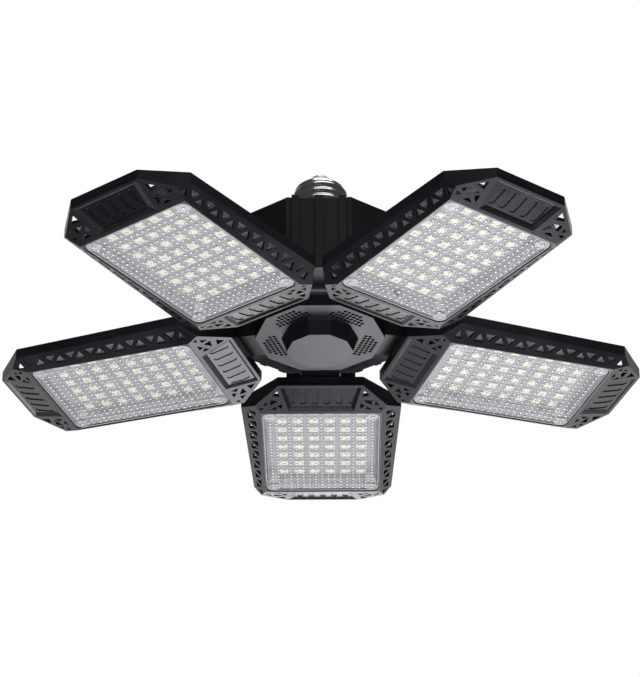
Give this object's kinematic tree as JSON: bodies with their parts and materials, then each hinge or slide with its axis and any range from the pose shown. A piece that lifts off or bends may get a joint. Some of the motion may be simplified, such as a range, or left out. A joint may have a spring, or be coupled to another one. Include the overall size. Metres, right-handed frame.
{
  "type": "deformable garage light",
  "caption": "Screw-in garage ceiling light: a faceted hub with an LED panel on each of its friction hinges, so the panels fold up from flat.",
  "frame": {"origin": "on the lamp's axis, at the lower rim of the screw shell, where it stands on the neck's shoulder", "axes": "+Z along the axis towards the centre contact, so the panels lie below; panel 1 points along +Y"},
  "size_m": [0.3004, 0.2857, 0.0991],
  "materials": {
    "black_plastic": "fine satin moulded black",
    "panel_plastic": "fine satin moulded black",
    "nickel": "bright nickel plate",
    "insulator": "glazed off-white",
    "contact": "smooth tinned metal",
    "steel": "plain zinc-plated steel",
    "lens": "clear polycarbonate with a grid of small raised dots",
    "board_coating": "white-coated aluminium circuit board",
    "led_phosphor": "pale yellow phosphor",
    "heat_sink": "plain extruded aluminium",
    "circuit_board": "green solder mask",
    "transformer_tape": "yellow winding tape",
    "capacitor_sleeve": "dark shrink sleeve",
    "chip_plastic": "moulded black",
    "lead_sheath": "soft black sheath"
  },
  "bodies": {
    "hub": {"vent_cap": "black_plastic", "hub_base": "black_plastic", "housing": "black_plastic", "neck": "black_plastic", "neck_screws": "steel", "screw_shell": "nickel", "base_insulator": "insulator", "centre_contact": "contact", "driver_board": "circuit_board", "driver_transformer": "transformer_tape", "driver_capacitors": "capacitor_sleeve", "driver_chips": "chip_plastic", "driver_screws": "steel", "hub_leads": "lead_sheath", "mains_leads": "lead_sheath"},
    "panel_1": {"panel_1_frame": "panel_plastic", "panel_1_lens": "lens", "panel_1_led_board": "board_coating", "panel_1_led_chips": "led_phosphor", "panel_1_heat_sink": "heat_sink", "panel_1_screws": "steel", "panel_1_hinge_pin": "steel", "panel_1_friction_washers": "steel", "panel_1_lead": "lead_sheath"},
    "panel_2": {"panel_2_frame": "panel_plastic", "panel_2_lens": "lens", "panel_2_led_board": "board_coating", "panel_2_led_chips": "led_phosphor", "panel_2_heat_sink": "heat_sink", "panel_2_screws": "steel", "panel_2_hinge_pin": "steel", "panel_2_friction_washers": "steel", "panel_2_lead": "lead_sheath"},
    "panel_3": {"panel_3_frame": "panel_plastic", "panel_3_lens": "lens", "panel_3_led_board": "board_coating", "panel_3_led_chips": "led_phosphor", "panel_3_heat_sink": "heat_sink", "panel_3_screws": "steel", "panel_3_hinge_pin": "steel", "panel_3_friction_washers": "steel", "panel_3_lead": "lead_sheath"},
    "panel_4": {"panel_4_frame": "panel_plastic", "panel_4_lens": "lens", "panel_4_led_board": "board_coating", "panel_4_led_chips": "led_phosphor", "panel_4_heat_sink": "heat_sink", "panel_4_screws": "steel", "panel_4_hinge_pin": "steel", "panel_4_friction_washers": "steel", "panel_4_lead": "lead_sheath"},
    "panel_5": {"panel_5_frame": "panel_plastic", "panel_5_lens": "lens", "panel_5_led_board": "board_coating", "panel_5_led_chips": "led_phosphor", "panel_5_heat_sink": "heat_sink", "panel_5_screws": "steel", "panel_5_hinge_pin": "steel", "panel_5_friction_washers": "steel", "panel_5_lead": "lead_sheath"}
  },
  "joints": [
    {"name": "panel_1_fold", "type": "hinge", "parent": "hub", "child": "panel_1", "pos_m": [0, 0.044, -0.0594], "axis": [1, 0, 0], "range_deg": [-8, 55]},
    {"name": "panel_2_fold", "type": "hinge", "parent": "hub", "child": "panel_2", "pos_m": [-0.04185, 0.0136, -0.0594], "axis": [0.309, 0.9511, 0], "range_deg": [-8, 55]},
    {"name": "panel_3_fold", "type": "hinge", "parent": "hub", "child": "panel_3", "pos_m": [-0.02586, -0.0356, -0.0594], "axis": [-0.809, 0.5878, 0], "range_deg": [-8, 55]},
    {"name": "panel_4_fold", "type": "hinge", "parent": "hub", "child": "panel_4", "pos_m": [0.02586, -0.0356, -0.0594], "axis": [-0.809, -0.5878, 0], "range_deg": [-8, 55]},
    {"name": "panel_5_fold", "type": "hinge", "parent": "hub", "child": "panel_5", "pos_m": [0.04185, 0.0136, -0.0594], "axis": [0.309, -0.9511, 0], "range_deg": [-8, 55]}
  ]
}
